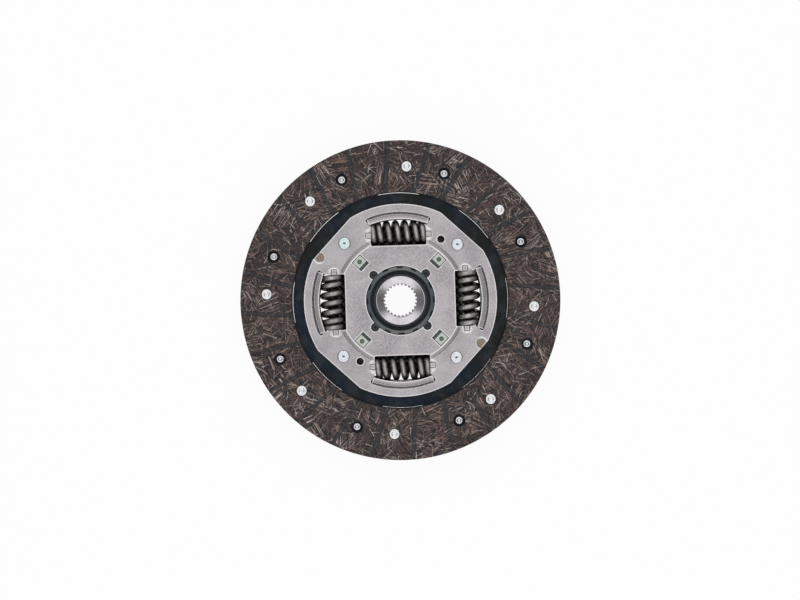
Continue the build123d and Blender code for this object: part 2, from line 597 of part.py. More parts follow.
def main():
    os.makedirs("parts", exist_ok=True)
    stops = [at(STOP_CIRCLE_R, turn) * stop_rivet() for turn in spaced(STOP_COUNT, STOP_ANGLE)]
    parts = {
        "front_lining": lining(),
        "back_lining": back_lining(),
        "carrier_plate": carrier_plate(),
        "front_lining_rivets": Compound(rivet_circle(lining_rivet(), FRONT_RIVET_ANGLE)),
        "back_lining_rivets": Compound(rivet_circle(behind(lining_rivet()), BACK_RIVET_ANGLE)),
        "front_plate": front_plate(),
        "back_plate": back_plate(),
        "stop_rivets": Compound(stops),
        "hub": hub(),
        "front_bush": front_bush(),
        "friction_washer": friction_washer(),
        "back_friction_ring": ring(BACK_RING_IN_R, BACK_RING_R, PRESS_RING_TOP, BACK_RING_TOP),
        "pressure_ring": ring(PRESS_RING_IN_R, PRESS_RING_R, CONE_WASHER_TOP, PRESS_RING_TOP),
        "cone_washer": cone_washer(),
    }
    names = ("right", "top", "left", "bottom")
    for name, turn in zip(names, spaced(SPRING_COUNT)):
        parts["spring_" + name] = spring(turn)
    for name, shape in parts.items():
        export_step(shape, os.path.join("parts", name + ".step"))


main()
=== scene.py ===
import json
from math import cos, pi, radians, sin

import bmesh
import bpy
from mathutils import Matrix, Vector


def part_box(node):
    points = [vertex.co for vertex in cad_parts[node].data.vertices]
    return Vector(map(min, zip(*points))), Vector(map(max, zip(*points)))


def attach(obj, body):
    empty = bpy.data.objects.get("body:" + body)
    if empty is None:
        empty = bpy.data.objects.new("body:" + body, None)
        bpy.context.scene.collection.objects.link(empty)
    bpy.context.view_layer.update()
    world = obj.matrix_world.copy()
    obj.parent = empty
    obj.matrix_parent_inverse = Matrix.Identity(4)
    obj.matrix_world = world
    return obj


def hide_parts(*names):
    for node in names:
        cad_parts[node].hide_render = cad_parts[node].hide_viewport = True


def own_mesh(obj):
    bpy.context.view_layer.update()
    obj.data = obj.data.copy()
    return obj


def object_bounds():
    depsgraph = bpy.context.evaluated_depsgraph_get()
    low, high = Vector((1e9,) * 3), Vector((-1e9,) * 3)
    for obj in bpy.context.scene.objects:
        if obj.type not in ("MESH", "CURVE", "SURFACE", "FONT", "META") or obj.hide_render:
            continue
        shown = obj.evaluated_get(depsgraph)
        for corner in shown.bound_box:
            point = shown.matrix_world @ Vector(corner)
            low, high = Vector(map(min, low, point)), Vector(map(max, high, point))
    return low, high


# Looks of a 200 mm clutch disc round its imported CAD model, in metres, +Z out of its front face.
# The disc's sizes and the finishes' patterns are in millimetres, and named turns in degrees.

MM = 0.001
FULL_TURN = 2 * pi            # in radians, as Python and the nodes count
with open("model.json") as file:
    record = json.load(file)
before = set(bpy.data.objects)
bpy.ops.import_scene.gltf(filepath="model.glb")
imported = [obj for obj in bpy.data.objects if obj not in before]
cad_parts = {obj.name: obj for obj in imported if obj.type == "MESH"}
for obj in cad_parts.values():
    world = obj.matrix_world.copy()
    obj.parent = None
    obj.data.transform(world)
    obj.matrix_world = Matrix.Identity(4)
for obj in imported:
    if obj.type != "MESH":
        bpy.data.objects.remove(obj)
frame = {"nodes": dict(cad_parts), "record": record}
cad_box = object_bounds()


# Sizes that the looks follow

def top_of(node):
    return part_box(node)[1].z / MM


def round_axis(count, radius, start):
    """Evenly spaced spots round the axis, each as its radius and its turn."""
    return [(radius, start + 360 / count * index) for index in range(count)]


LINING_FACE = top_of("front_lining")
LINING_IN_R = 67.5
GROOVE_DEPTH = 0.7
LINING_RIVETS = 8
LINING_RIVET_CIRCLE_R = 83.75
FRONT_RIVET_TURN = -4.4
BACK_RIVET_TURN = 24.2

PLATE_FACE = 2.15             # height of the front plate's outer zone
PLATE_R = 60.4
LAND_R = 39.0
LAND_STEP_OUT = 3.0           # the step round the land starts this far outside it
LAND_STEP_W = 3.6
HOOD_EDGE_R = 50.9
STOP_RIVETS = 4
STOP_CIRCLE_R = 50.0
STOP_TURN = 42.7
STOP_HEAD_R = 3.75
STOPS = round_axis(STOP_RIVETS, STOP_CIRCLE_R, STOP_TURN)
GREENER_STOPS = STOPS[1:2]
EDGE_MARK_R = 3.2
EDGE_MARK_TURN = 150.5
EDGE_MARKS = round_axis(2, 57.3, EDGE_MARK_TURN)
SEAT_OUT = 41.1               # a press mark's middle, from the axis along its window's middle line
SEAT_ALONG = 17.35            # and to the side of that line
SEAT_RING_R = 3.6
SEAT_TAB = 2.9                # side of the square tab left in each press mark
BOSSES = round_axis(4, 35.1, 45.0)

BUSH_TOP = top_of("front_bush")
BUSH_R = 21.4
BUSH_RIM_IN_R = 18.5
LUGS = round_axis(4, BUSH_R + 1.5, 45.0)
DASH_TURNS = (0.0, 25.0)      # the dashes' turns from the nearest axis, to either side
DASH_HALF = 4.8

HUB_R = 15.5
SPLINE_ROOT_R = 10.5

SPRING_CIRCLE_R = 42.5
SPRING_MID_Z = (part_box("spring_right")[0].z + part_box("spring_right")[1].z) / MM / 2
WIRE_R = 1.95
WIRE_SIDES = 20
COIL_RINGS = 150
COIL_END_TURNS = 1.0
COIL_MID_TURNS = 4.4
COIL_END_PITCH = 3.95
COIL_TIP_IN = 0.9             # from the ground end to the wire's middle at its tip


# Sockets and trees

class Value:
    """A node's output that can stand in a Python expression."""

    def __init__(self, nodes, socket):
        self.nodes = nodes
        self.socket = socket

    def __add__(self, other):
        return self.nodes.math("ADD", self, other)

    def __mul__(self, other):
        return self.nodes.math("MULTIPLY", self, other)

    def __sub__(self, other):
        return self.nodes.math("SUBTRACT", self, other)

    def __rsub__(self, other):
        return self.nodes.math("SUBTRACT", other, self)

    def __truediv__(self, other):
        return self.nodes.math("DIVIDE", self, other)

    def __pow__(self, other):
        return self.nodes.math("POWER", self, other)

    __radd__ = __add__
    __rmul__ = __mul__

    def size(self):
        return self.nodes.math("ABSOLUTE", self)

    def low(self, other):
        return self.nodes.math("MINIMUM", self, other)

    def high(self, other):
        return self.nodes.math("MAXIMUM", self, other)

    def cosine(self):
        return self.nodes.math("COSINE", self)

    def sine(self):
        return self.nodes.math("SINE", self)

    def step(self, start, end):
        """0 before start, 1 after end and smooth between, or the other way if start is larger."""
        return self.nodes.add("ShaderNodeMapRange", {"interpolation_type": "SMOOTHSTEP"},
                              {0: self, 1: start, 2: end, 3: 0.0, 4: 1.0})

    def band(self, middle, half, soft):
        """1 within half of middle, falling to 0 over soft."""
        return (self - middle).size().step(half + soft, half)


class Nodes:
    """A node tree and the one method that adds its nodes."""

    def __init__(self, tree):
        self.tree = tree

    def make(self, kind, settings=None, values=None):
        """A node with its settings made first, and then the values or links of its sockets."""
        node = self.tree.nodes.new(kind)
        for key, setting in (settings or {}).items():
            if key == "stops":
                ramp = node.color_ramp.elements
                while len(ramp) < len(setting):
                    ramp.new(0.5)
                for element, (place, colour) in zip(ramp, setting):
                    element.position = place
                    element.color = (*colour, 1.0)
            else:
                setattr(node, key, setting)
        for key, value in (values or {}).items():
            socket = node.inputs[key]
            if isinstance(value, Value):
                self.tree.links.new(value.socket, socket)
            elif socket.type == "RGBA" and len(value) == 3:
                socket.default_value = (*value, 1.0)
            else:
                socket.default_value = value
        return node

    def add(self, kind, settings=None, values=None, output=0):
        """A new node's output."""
        return Value(self, self.make(kind, settings, values).outputs[output])

    def parts(self, kind, settings=None, values=None):
        """All of a new node's outputs."""
        return [Value(self, socket) for socket in self.make(kind, settings, values).outputs]

    def math(self, operation, *values):
        return self.add("ShaderNodeMath", {"operation": operation}, dict(enumerate(values)))

    def blend(self, factor, first, second):
        """A colour between two colours."""
        return self.add("ShaderNodeMix", {"data_type": "RGBA"}, {0: factor, 6: first, 7: second}, 2)

    def ramp(self, factor, stops):
        return self.add("ShaderNodeValToRGB", {"stops": stops}, {0: factor})

    def vector(self, x, y, z):
        return self.add("ShaderNodeCombineXYZ", None, {0: x, 1: y, 2: z})


class Finish(Nodes):
    """A procedural material. Its patterns read the object's coordinates in millimetres."""

    def __init__(self, name):
        self.material = bpy.data.materials.new(name)
        self.material.use_nodes = True
        super().__init__(self.material.node_tree)
        self.tree.nodes.clear()
        place = self.add("ShaderNodeTexCoord", output="Object")
        self.place = self.add("ShaderNodeVectorMath", {"operation": "SCALE"}, {0: place, 3: 1 / MM})
        self.x, self.y, self.z = self.parts("ShaderNodeSeparateXYZ", None, {0: self.place})
        self.radius = (self.x * self.x + self.y * self.y) ** 0.5

    def noise(self, scale, detail=3.0, rough=0.55, place=None):
        """Fine noise from 0 to 1, with scale lumps to a millimetre."""
        return self.add("ShaderNodeTexNoise", None, {
            "Vector": place or self.place, "Scale": scale, "Detail": detail, "Roughness": rough})

    def nearest(self, spots):
        """Distance to the nearest of some spots, each given by its radius and its turn."""
        best = 1e6   # the square of a distance past any spot
        for radius, turn in spots:
            aside = self.x - radius * cos(radians(turn))
            up = self.y - radius * sin(radians(turn))
            best = (aside * aside + up * up).low(best)
        return best ** 0.5

    def upward(self):
        """How far the surface faces up: 1 on top, 0 on upright sides and -1 underneath."""
        normal = self.add("ShaderNodeTexCoord", output="Normal")
        return self.parts("ShaderNodeSeparateXYZ", None, {0: normal})[2]

    def bump(self, height, depth, strength=1.0, under=None):
        """A normal from a height of 0 to 1 that stands for depth in millimetres."""
        values = {"Height": height, "Distance": depth * MM, "Strength": strength}
        if under:
            values["Normal"] = under
        return self.add("ShaderNodeBump", None, values)

    def eased(self, radius):
        """A normal that rounds the edges by a radius in millimetres."""
        return self.add("ShaderNodeBevel", {"samples": 6}, {"Radius": radius * MM})

    def edges(self, width, reach):
        """Two masks: the piece's outward edges, and its inward corners within reach of a wall."""
        flat = self.add("ShaderNodeNewGeometry", output="Normal")
        agree = self.add("ShaderNodeVectorMath", {"operation": "DOT_PRODUCT"},
                         {0: self.eased(width), 1: flat}, "Value")
        turned = agree.step(0.985, 0.93)
        openness = self.add("ShaderNodeAmbientOcclusion", {"samples": 8, "only_local": True},
                            {"Distance": reach * MM}, "AO")
        return turned * openness.step(0.80, 0.95), openness.step(0.86, 0.55)

    def shade(self, **sockets):
        values = {key.replace("_", " "): value for key, value in sockets.items()}
        shader = self.add("ShaderNodeBsdfPrincipled", None, values)
        self.make("ShaderNodeOutputMaterial", None, {"Surface": shader})
        return self.material


# The linings' finish

LINING_GROUND = (
    (0.32, (0.007, 0.007, 0.009)), (0.48, (0.036, 0.030, 0.033)), (0.70, (0.086, 0.070, 0.070)),
)
BUNDLE_CELLS = (10.5, 7.5, 12.0)
BUNDLE_HUES = (
    (0.00, (0.036, 0.026, 0.031)), (0.30, (0.070, 0.042, 0.043)), (0.55, (0.108, 0.060, 0.054)),
    (0.75, (0.110, 0.080, 0.074)), (1.00, (0.070, 0.068, 0.062)),
)
STRAND_HUES = (
    (0.00, (0.060, 0.040, 0.044)), (0.38, (0.150, 0.080, 0.068)), (0.60, (0.290, 0.185, 0.155)),
    (1.00, (0.600, 0.510, 0.470)),
)
HAIR_CELLS = (8.0, 11.0, 9.5)
HAIR_HUES = (
    (0.00, (0.260, 0.155, 0.120)), (0.40, (0.380, 0.270, 0.220)), (0.75, (0.520, 0.420, 0.360)),
    (1.00, (0.760, 0.700, 0.650)),
)
FIRST_BUNDLE_SEED = 1
FIRST_HAIR_SEED = 11
SEED_SHIFT_X = 37.3           # each seed reads the plane of cells this much farther over
SEED_SHIFT_Y = 21.7


def turned_cells(paint, seed, cell):
    """A plane of cells that are each turned at random: along, aside and two random numbers."""
    flat = paint.vector(paint.x + seed * SEED_SHIFT_X, paint.y - seed * SEED_SHIFT_Y, 0.0)
    cells = paint.make("ShaderNodeTexVoronoi", {"voronoi_dimensions": "2D"},
                       {"Vector": flat, "Scale": 1 / cell, "Randomness": 1.0}).outputs
    away = paint.add("ShaderNodeVectorMath", {"operation": "SUBTRACT"},
                     {0: flat, 1: Value(paint, cells["Position"])})
    rim_highlight_share, up, _ = paint.parts("ShaderNodeSeparateXYZ", None, {0: away})
    spin, hue, chance = paint.parts("ShaderNodeSeparateColor", None,
                                    {0: Value(paint, cells["Color"])})
    angle = spin * FULL_TURN
    cosine, sine = angle.cosine(), angle.sine()
    return rim_highlight_share * cosine + up * sine, up * cosine - rim_highlight_share * sine, hue, chance


def strand_bundles(paint, blotch, grain, colour):
    """Cells of parallel strands: dark gaps, then brown strands, then bright ones."""
    for seed, cell in enumerate(BUNDLE_CELLS, FIRST_BUNDLE_SEED):
        along, aside, hue, chance = turned_cells(paint, seed, cell)
        strand = paint.noise(1.0, 0.0, 0.5, paint.vector(along * 0.02, aside * 1.1, chance * 50.0))
        broken = paint.noise(1.0, 1.0, 0.5, paint.vector(along * 0.26, aside * 0.9, chance * 31.0))
        dark = strand.step(0.46, 0.38) * broken.step(0.40, 0.50)
        colour = paint.blend(dark * 0.70, colour, (0.012, 0.010, 0.012))
        brown = strand.step(0.50, 0.58) * broken.step(0.44, 0.52) * blotch.step(0.36, 0.54)
        colour = paint.blend(brown * 0.60, colour, paint.ramp(hue, BUNDLE_HUES))
        bright = strand.band(0.625, 0.020, 0.025) * broken.step(0.42, 0.50)
        bright = bright * grain.step(0.30, 0.46)
        colour = paint.blend(bright * 0.80, colour, paint.ramp(chance, STRAND_HUES))
    return colour


def single_hairs(paint, grain, colour):
    """One short bright hair in the middle of each cell."""
    for seed, cell in enumerate(HAIR_CELLS, FIRST_HAIR_SEED):
        along, aside, hue, _ = turned_cells(paint, seed, cell)
        hair = aside.size().step(0.28, 0.10) * along.size().step(cell * 0.34, cell * 0.24)
        hair = hair * grain.step(0.34, 0.60)
        colour = paint.blend(hair * 0.80, colour, paint.ramp(hue, HAIR_HUES))
    return colour


def friction_lining():
    """Moulded lining: bundles of brown strands that lie in all directions, and bright hairs."""
    paint = Finish("moulded friction lining")
    depth = LINING_FACE - paint.z.size()
    blotch = paint.noise(0.11, 3.0)
    grain = paint.noise(1.5, 4.0, 0.65)
    speck = paint.noise(3.2, 2.0, 0.5)
    colour = strand_bundles(paint, blotch, grain, paint.ramp(grain, LINING_GROUND))
    colour = single_hairs(paint, grain, colour)
    colour = paint.blend(speck.step(0.62, 0.72) * 0.60, colour, (0.30, 0.235, 0.205))
    colour = paint.blend(speck.step(0.42, 0.30) * 0.70, colour, (0.008, 0.008, 0.010))
    # Painted shade: the grooves' floors are painted a darker blue-grey.
    groove_shade = depth.band(GROOVE_DEPTH, 0.15, 0.25)
    colour = paint.blend(groove_shade * 0.70, colour, (0.030, 0.033, 0.042))
    # Painted shadow: a dark line along the lining's inner edge.
    inner_edge_shadow = paint.radius.step(LINING_IN_R + 0.9, LINING_IN_R + 0.3)
    colour = paint.blend(inner_edge_shadow * 0.8, colour, (0.010, 0.010, 0.011))
    upward = paint.upward()
    side = paint.blend(grain.step(0.40, 0.66), (0.016, 0.014, 0.015), (0.100, 0.076, 0.070))
    colour = paint.blend(upward.size().step(0.4, 0.8), side, colour)
    normal = paint.bump(grain, 0.14, 0.8)
    return paint.shade(Base_Color=colour, Roughness=0.66 - speck * 0.12,
                       Specular_IOR_Level=0.20, Normal=normal)


# The plates' finish

# Painted shade and a painted highlight across the step round the land.
LAND_STEP_LIGHT_AND_SHADE = (          # from the outer zone up to the land
    (0.00, (0.090, 0.084, 0.087)), (0.14, (0.110, 0.103, 0.106)), (0.30, (0.300, 0.285, 0.292)),
    (0.72, (0.420, 0.402, 0.411)), (0.86, (0.860, 0.850, 0.850)), (1.00, (0.400, 0.380, 0.390)),
)
MARK_X = 50.0                 # how far the edge marks lie to the left and right of the axis


def plate_skin(paint):
    """Satin grey with dark flecks and rolling lines both ways, and three of its noises."""
    cloud = paint.noise(0.06, 5.0, 0.62)
    grain = paint.noise(1.9, 4.0, 0.65)
    fleck = paint.noise(3.4, 2.0, 0.5)
    scratch = paint.noise(0.9, 4.0, 0.6, paint.vector(paint.x * 3.2, paint.y * 0.14, paint.z))
    cross = paint.noise(0.9, 4.0, 0.6, paint.vector(paint.x * 0.16, paint.y * 2.8, paint.z))
    colour = paint.blend(cloud.step(0.32, 0.68), (0.240, 0.222, 0.233), (0.360, 0.338, 0.350))
    colour = paint.blend(grain.step(0.46, 0.70) * 0.90, colour, (0.53, 0.51, 0.52))
    colour = paint.blend(fleck.step(0.42, 0.28) * 0.80, colour, (0.10, 0.095, 0.10))
    colour = paint.blend(scratch.step(0.60, 0.72) * 0.25, colour, (0.60, 0.58, 0.58))
    colour = paint.blend(cross.step(0.62, 0.74) * 0.25, colour, (0.16, 0.15, 0.155))
    return colour, cloud, grain, scratch


def land_and_hoods(paint, front, colour):
    """The sloping step round the raised land, painted with shade and a highlight, and the hoods,
    painted darker as shade. Gives two masks besides.
    """
    on_step = paint.radius.band(LAND_R + 1.1, 1.5, 0.3) * front
    step_light_and_shade = paint.ramp((LAND_R + LAND_STEP_OUT - paint.radius) / LAND_STEP_W, LAND_STEP_LIGHT_AND_SHADE)
    colour = paint.blend(on_step * 0.85, colour, step_light_and_shade)
    # Painted shade: the raised hoods are painted darker, and their outer sides darker still.
    hood_shade = paint.z.step(PLATE_FACE + 0.1, PLATE_FACE + 0.3)
    hood_shade = hood_shade * paint.radius.step(HOOD_EDGE_R - 1.5, HOOD_EDGE_R - 1.0)
    hood_side_shade = hood_shade * paint.radius.step(HOOD_EDGE_R + 1.7, HOOD_EDGE_R + 2.5)
    colour = paint.blend(hood_shade * 0.40, colour, (0.20, 0.19, 0.195))
    colour = paint.blend(hood_side_shade * 0.60, colour, (0.12, 0.115, 0.118))
    return colour, on_step, hood_side_shade


def edge_marks(paint, front, grain, colour):
    """Rust in the two round marks, and masks of them and of their painted highlight crescents."""
    mark_r = paint.nearest(EDGE_MARKS)
    marks = mark_r.step(EDGE_MARK_R, EDGE_MARK_R - 0.2)
    marks = marks * paint.z.step(PLATE_FACE - 0.2, PLATE_FACE - 0.5) * front
    rust = paint.blend(grain.step(0.36, 0.62), (0.130, 0.090, 0.062), (0.350, 0.262, 0.195))
    rusty = marks * paint.radius.step(PLATE_R + 0.1, PLATE_R - 1.9)
    colour = paint.blend(rusty * 0.85, colour, rust)
    line = radians(EDGE_MARK_TURN)
    past_mark = (paint.y * cos(line) - paint.x * sin(line)) * paint.x * (-1 / MARK_X)
    # Painted highlight: a bright crescent on one side of each mark's rim.
    crescent_highlight = mark_r.band(EDGE_MARK_R, 0.35, 0.3) * past_mark.step(0.6, 2.0) * front
    return colour, marks, crescent_highlight


def seat_marks(paint, front):
    """Masks of the press marks at the windows' ends, painted as highlight rings, and of the painted
    shade round the tab in each.
    """
    out = paint.x.size().high(paint.y.size()) - SEAT_OUT
    along = paint.x.size().low(paint.y.size()) - SEAT_ALONG
    seat_r = (out * out + along * along) ** 0.5
    # Painted highlight: a bright ring on each press mark.
    press_highlight = seat_r.band(SEAT_RING_R, 0.35, 1.0) * along.step(0.2, 1.0) * front
    press_highlight = press_highlight * paint.z.step(PLATE_FACE + 0.1, PLATE_FACE - 0.02)
    from_tab = out.size().high((along - SEAT_TAB / 2).size())
    return press_highlight, from_tab.band(SEAT_TAB / 2 + 0.1, 0.20, 0.22) * front


def bare_plate():
    """Pressed steel with a satin skin and rolling lines, painted highlights on its edges, and
    painted shade in its corners and on its inner side.
    """
    paint = Finish("bare pressed plate")
    colour, cloud, grain, scratch = plate_skin(paint)
    front = paint.z.step(PLATE_FACE - 0.95, PLATE_FACE - 0.65)
    colour, on_step, hood_side_shade = land_and_hoods(paint, front, colour)
    colour, marks, crescent_highlight = edge_marks(paint, front, grain, colour)
    # Painted shadow: a thin dark ring round the foot of each stop rivet's head.
    rivet_foot_shadow = paint.nearest(STOPS).band(STOP_HEAD_R + 0.15, 0.08, 0.15)
    colour = paint.blend(rivet_foot_shadow * 0.25, colour, (0.045, 0.055, 0.055))
    press_highlight, tab_gap_shade = seat_marks(paint, front)
    edge_highlight, corner_shade = paint.edges(1.4, 1.2)
    # Painted shade: inward corners are painted darker, except on the press marks.
    colour = paint.blend(corner_shade * (1.0 - press_highlight) * 0.80, colour, (0.050, 0.046, 0.048))
    # Painted highlight: outward edges, press mark rings and crescents are painted near white.
    bright = edge_highlight.high(press_highlight * 0.55).high(crescent_highlight * 0.8)
    colour = paint.blend(bright, colour, (0.92, 0.91, 0.90))
    # Painted shade: a dark outline in the gap round each press mark's tab.
    colour = paint.blend(tab_gap_shade * 0.80, colour, (0.090, 0.084, 0.086))
    # Painted shade: surfaces inside the damper, below the plate, are painted near black.
    inside_shade = paint.upward().step(-0.2, 0.1) * paint.z.step(-0.5, -2.0)
    colour = paint.blend(inside_shade, colour, (0.020, 0.018, 0.016))
    rough = cloud * 0.12 + grain * 0.12 + marks * 0.25 + 0.27
    dull = (marks * 0.5).high(bright * 0.90).high(inside_shade * 0.6)
    dull = dull.high(on_step * 0.60).high(hood_side_shade * 0.5)
    normal = paint.bump(grain * 0.6 + scratch * 0.4, 0.03, 0.5, paint.eased(0.40))
    return paint.shade(Base_Color=colour, Metallic=1.0 - dull, Roughness=rough, Normal=normal)


# The other finishes

BLACK = (0.004, 0.004, 0.005)


def blued_steel():
    """Nearly black steel whose blue comes and goes in wide patches."""
    paint = Finish("blued carrier steel")
    cloud = paint.noise(0.10, 4.0, 0.6)
    rolled = paint.noise(1.0, 3.0, 0.6, paint.vector(paint.x * 0.05, paint.y * 1.2, paint.z))
    fleck = paint.noise(2.4, 3.0, 0.6)
    heat = paint.noise(0.022, 2.0)
    colour = paint.blend(heat.step(0.42, 0.58), (0.0040, 0.0100, 0.0230), (0.0080, 0.0100, 0.0085))
    colour = paint.blend(cloud.step(0.44, 0.64) * 0.8, colour, (0.0250, 0.0280, 0.0350))
    colour = paint.blend(fleck.step(0.56, 0.72) * 0.6, colour, (0.034, 0.038, 0.046))
    rough = cloud * 0.14 + rolled * 0.1 + 0.26
    normal = paint.bump(rolled * 0.5 + fleck * 0.5, 0.02, 0.4, paint.eased(0.12))
    return paint.shade(Base_Color=colour, Roughness=rough, Specular_IOR_Level=0.10, Normal=normal)


def rivet_metal():
    paint = Finish("bright rivet metal")
    fine = paint.noise(2.6, 4.0, 0.6)
    cloud = paint.noise(0.5, 3.0, 0.6)
    colour = paint.blend(fine.step(0.3, 0.72), (0.44, 0.44, 0.46), (0.74, 0.74, 0.75))
    colour = paint.blend(cloud.step(0.55, 0.70) * 0.35, colour, (0.30, 0.28, 0.27))
    normal = paint.bump(fine, 0.03, 0.6)
    rough = fine * 0.16 + 0.22
    return paint.shade(Base_Color=colour, Metallic=1.0, Roughness=rough, Normal=normal)


def zinc_steel():
    """Plated steel with greenish spots and a dark dot in each head. One rivet is all greener."""
    paint = Finish("zinc plated rivet steel")
    fine = paint.noise(1.8, 4.0, 0.65)
    spots = paint.noise(0.9, 3.0, 0.6)
    greener = paint.nearest(GREENER_STOPS).step(6.0, 5.0)
    colour = paint.blend(fine.step(0.3, 0.75), (0.44, 0.45, 0.49), (0.72, 0.73, 0.79))
    colour = paint.blend(greener * 0.45, colour, (0.42, 0.62, 0.58))
    spotted = spots.step(0.58, 0.66) * (greener * 0.35 + 0.35)
    colour = paint.blend(spotted, colour, (0.16, 0.25, 0.25))
    dot = paint.nearest(STOPS).step(0.75, 0.45)
    colour = paint.blend(dot * 0.85, colour, (0.050, 0.065, 0.060))
    normal = paint.bump(fine, 0.03, 0.5)
    rough = fine * 0.12 + 0.26
    return paint.shade(Base_Color=colour, Metallic=1.0, Roughness=rough, Normal=normal)


def hub_steel():
    """Turned steel, painted darker in the spline and near black on the flange between the plates,
    as shade.
    """
    paint = Finish("turned hub steel")
    cloud = paint.noise(0.14, 3.0)
    grain = paint.noise(2.2, 3.0, 0.6)
    rings = paint.noise(1.0, 2.0, 0.5, paint.vector(paint.radius * 3.5, paint.z * 3.5, 0.0))
    colour = paint.blend(cloud.step(0.3, 0.7), (0.37, 0.355, 0.365), (0.47, 0.455, 0.475))
    colour = paint.blend(grain.step(0.42, 0.30) * 0.35, colour, (0.16, 0.14, 0.135))
    # Painted shade: the spline is painted darker, and the flange between the plates near black.
    spline_shade = paint.radius.step(SPLINE_ROOT_R + 0.25, SPLINE_ROOT_R)
    colour = paint.blend(spline_shade * 0.8, colour, (0.09, 0.085, 0.085))
    flange_shade = paint.radius.step(HUB_R, HUB_R + 0.6)
    colour = paint.blend(flange_shade, colour, (0.030, 0.027, 0.024))
    normal = paint.bump(rings, 0.03, 0.6, paint.eased(0.25))
    rough = rings * 0.10 + 0.22
    return paint.shade(Base_Color=colour, Metallic=1.0, Roughness=rough, Normal=normal)


def dark_bush():
    """Dark plastic with black lugs, each with a painted highlight ring. Its lighter grey rim has a
    painted highlight towards top and bottom, and black dashes painted as shade in its pockets.
    """
    paint = Finish("dark moulded bush")
    grain = paint.noise(2.6, 4.0, 0.6)
    cloud = paint.noise(0.09, 2.0)
    inner = paint.radius.step(BUSH_RIM_IN_R, BUSH_RIM_IN_R - 1.0)
    colour = paint.blend(grain.step(0.35, 0.7), (0.006, 0.007, 0.009), (0.022, 0.024, 0.028))
    colour = paint.blend(inner * grain.step(0.36, 0.60), colour, (0.066, 0.068, 0.073))
    lug_r = paint.nearest(LUGS)
    colour = paint.blend(lug_r.step(2.8, 2.5) * 0.8, colour, BLACK)
    # Painted highlight: a small lighter ring round each lug's dimple.
    colour = paint.blend(lug_r.band(1.35, 0.25, 0.35) * 0.6, colour, (0.045, 0.045, 0.048))
    on_rim = paint.radius.step(BUSH_RIM_IN_R + 0.3, BUSH_RIM_IN_R + 0.8)
    on_rim = on_rim * paint.radius.step(BUSH_R + 0.15, BUSH_R)
    on_rim = on_rim * paint.z.step(BUSH_TOP - 1.5, BUSH_TOP - 1.2)
    # Painted highlight: the rim is painted lighter towards top and bottom, where it faces the
    # lamps.
    rim_highlight_share = (paint.y / paint.radius) ** 2.0
    rim = paint.blend(rim_highlight_share, (0.085, 0.120, 0.150), (0.185, 0.200, 0.195))
    colour = paint.blend(on_rim * (rim_highlight_share * 0.35 + cloud * 0.30 + 0.30), colour, rim)
    # Painted shade: black dashes over the pockets at the bush's outer edge.
    turn = paint.math("ARCTAN2", paint.y, paint.x) * (180 / pi)
    turn = paint.math("WRAP", turn, -45.0, 45.0).size()
    near, far = [turn.band(place, DASH_HALF, 0.8) for place in DASH_TURNS]
    pocket_shade = near.high(far) * paint.radius.step(BUSH_R - 1.5, BUSH_R - 1.1)
    colour = paint.blend(pocket_shade, colour, BLACK)
    normal = paint.bump(grain, 0.04, 0.5, paint.eased(0.2))
    rough = grain * 0.14 + 0.34
    return paint.shade(Base_Color=colour, Roughness=rough, Specular_IOR_Level=0.26, Normal=normal)


def washer_plastic():
    """Pale green-grey bosses with a dark dimple each and a painted shade outline, on a ring painted
    dark as shade.
    """
    paint = Finish("pale washer plastic")
    grain = paint.noise(1.7, 4.0, 0.6)
    colour = paint.blend(grain.step(0.3, 0.7), (0.44, 0.475, 0.42), (0.60, 0.635, 0.575))
    middle_r = paint.nearest(BOSSES)
    colour = paint.blend(middle_r.step(1.6, 1.2) * 0.9, colour, (0.190, 0.225, 0.180))
    colour = paint.blend(middle_r.band(1.15, 0.20, 0.25) * 0.8, colour, (0.060, 0.080, 0.060))
    rim, _ = paint.edges(0.7, 1.0)
    # Painted shade: a dark outline along the edge of each boss.
    colour = paint.blend(rim * middle_r.step(2.0, 2.4) * 0.9, colour, (0.040, 0.050, 0.045))
    # Painted shade: the ring below the bosses is painted dark.
    colour = paint.blend(paint.z.step(2.6, 2.0), colour, (0.070, 0.085, 0.100))
    normal = paint.bump(grain, 0.04, 0.5, paint.eased(0.25))
    rough = grain * 0.12 + 0.42
    return paint.shade(Base_Color=colour, Roughness=rough, Specular_IOR_Level=0.4, Normal=normal)


def ring_steel():
    paint = Finish("dull ring steel")
    grain = paint.noise(1.8, 4.0, 0.6)
    colour = paint.blend(grain.step(0.3, 0.7), (0.24, 0.24, 0.25), (0.38, 0.38, 0.39))
    normal = paint.bump(grain, 0.02, 0.5)
    rough = grain * 0.14 + 0.34
    return paint.shade(Base_Color=colour, Metallic=1.0, Roughness=rough, Normal=normal)


def spring_steel():
    """Dark wire, painted darker down its sides as shade and painted grey along its outermost crests
    as a highlight.
    """
    paint = Finish("oiled spring steel")
    cloud = paint.noise(0.45, 4.0, 0.6)
    grain = paint.noise(2.6, 3.0, 0.6)
    height = (paint.z - SPRING_MID_Z).size()
    out = paint.x.size().high(paint.y.size()) - SPRING_CIRCLE_R
    # Painted highlight on the crests and painted shade down the wire's sides.
    crest_highlight = height.step(3.4, 6.2) * ((out * out + height * height) ** 0.5).step(6.6, 7.6)
    shaded_sides = paint.blend(cloud.step(0.3, 0.7), (0.018, 0.015, 0.012), (0.060, 0.054, 0.047))
    crest_highlight_colour = paint.blend(cloud.step(0.3, 0.7), (0.250, 0.240, 0.235), (0.440, 0.428, 0.420))
    colour = paint.blend(crest_highlight, shaded_sides, crest_highlight_colour)
    colour = paint.blend(grain.step(0.62, 0.74) * 0.35, colour, (0.42, 0.40, 0.38))
    normal = paint.bump(grain, 0.04, 0.5)
    rough = grain * 0.12 + 0.42
    return paint.shade(Base_Color=colour, Metallic=0.9, Roughness=rough, Normal=normal)


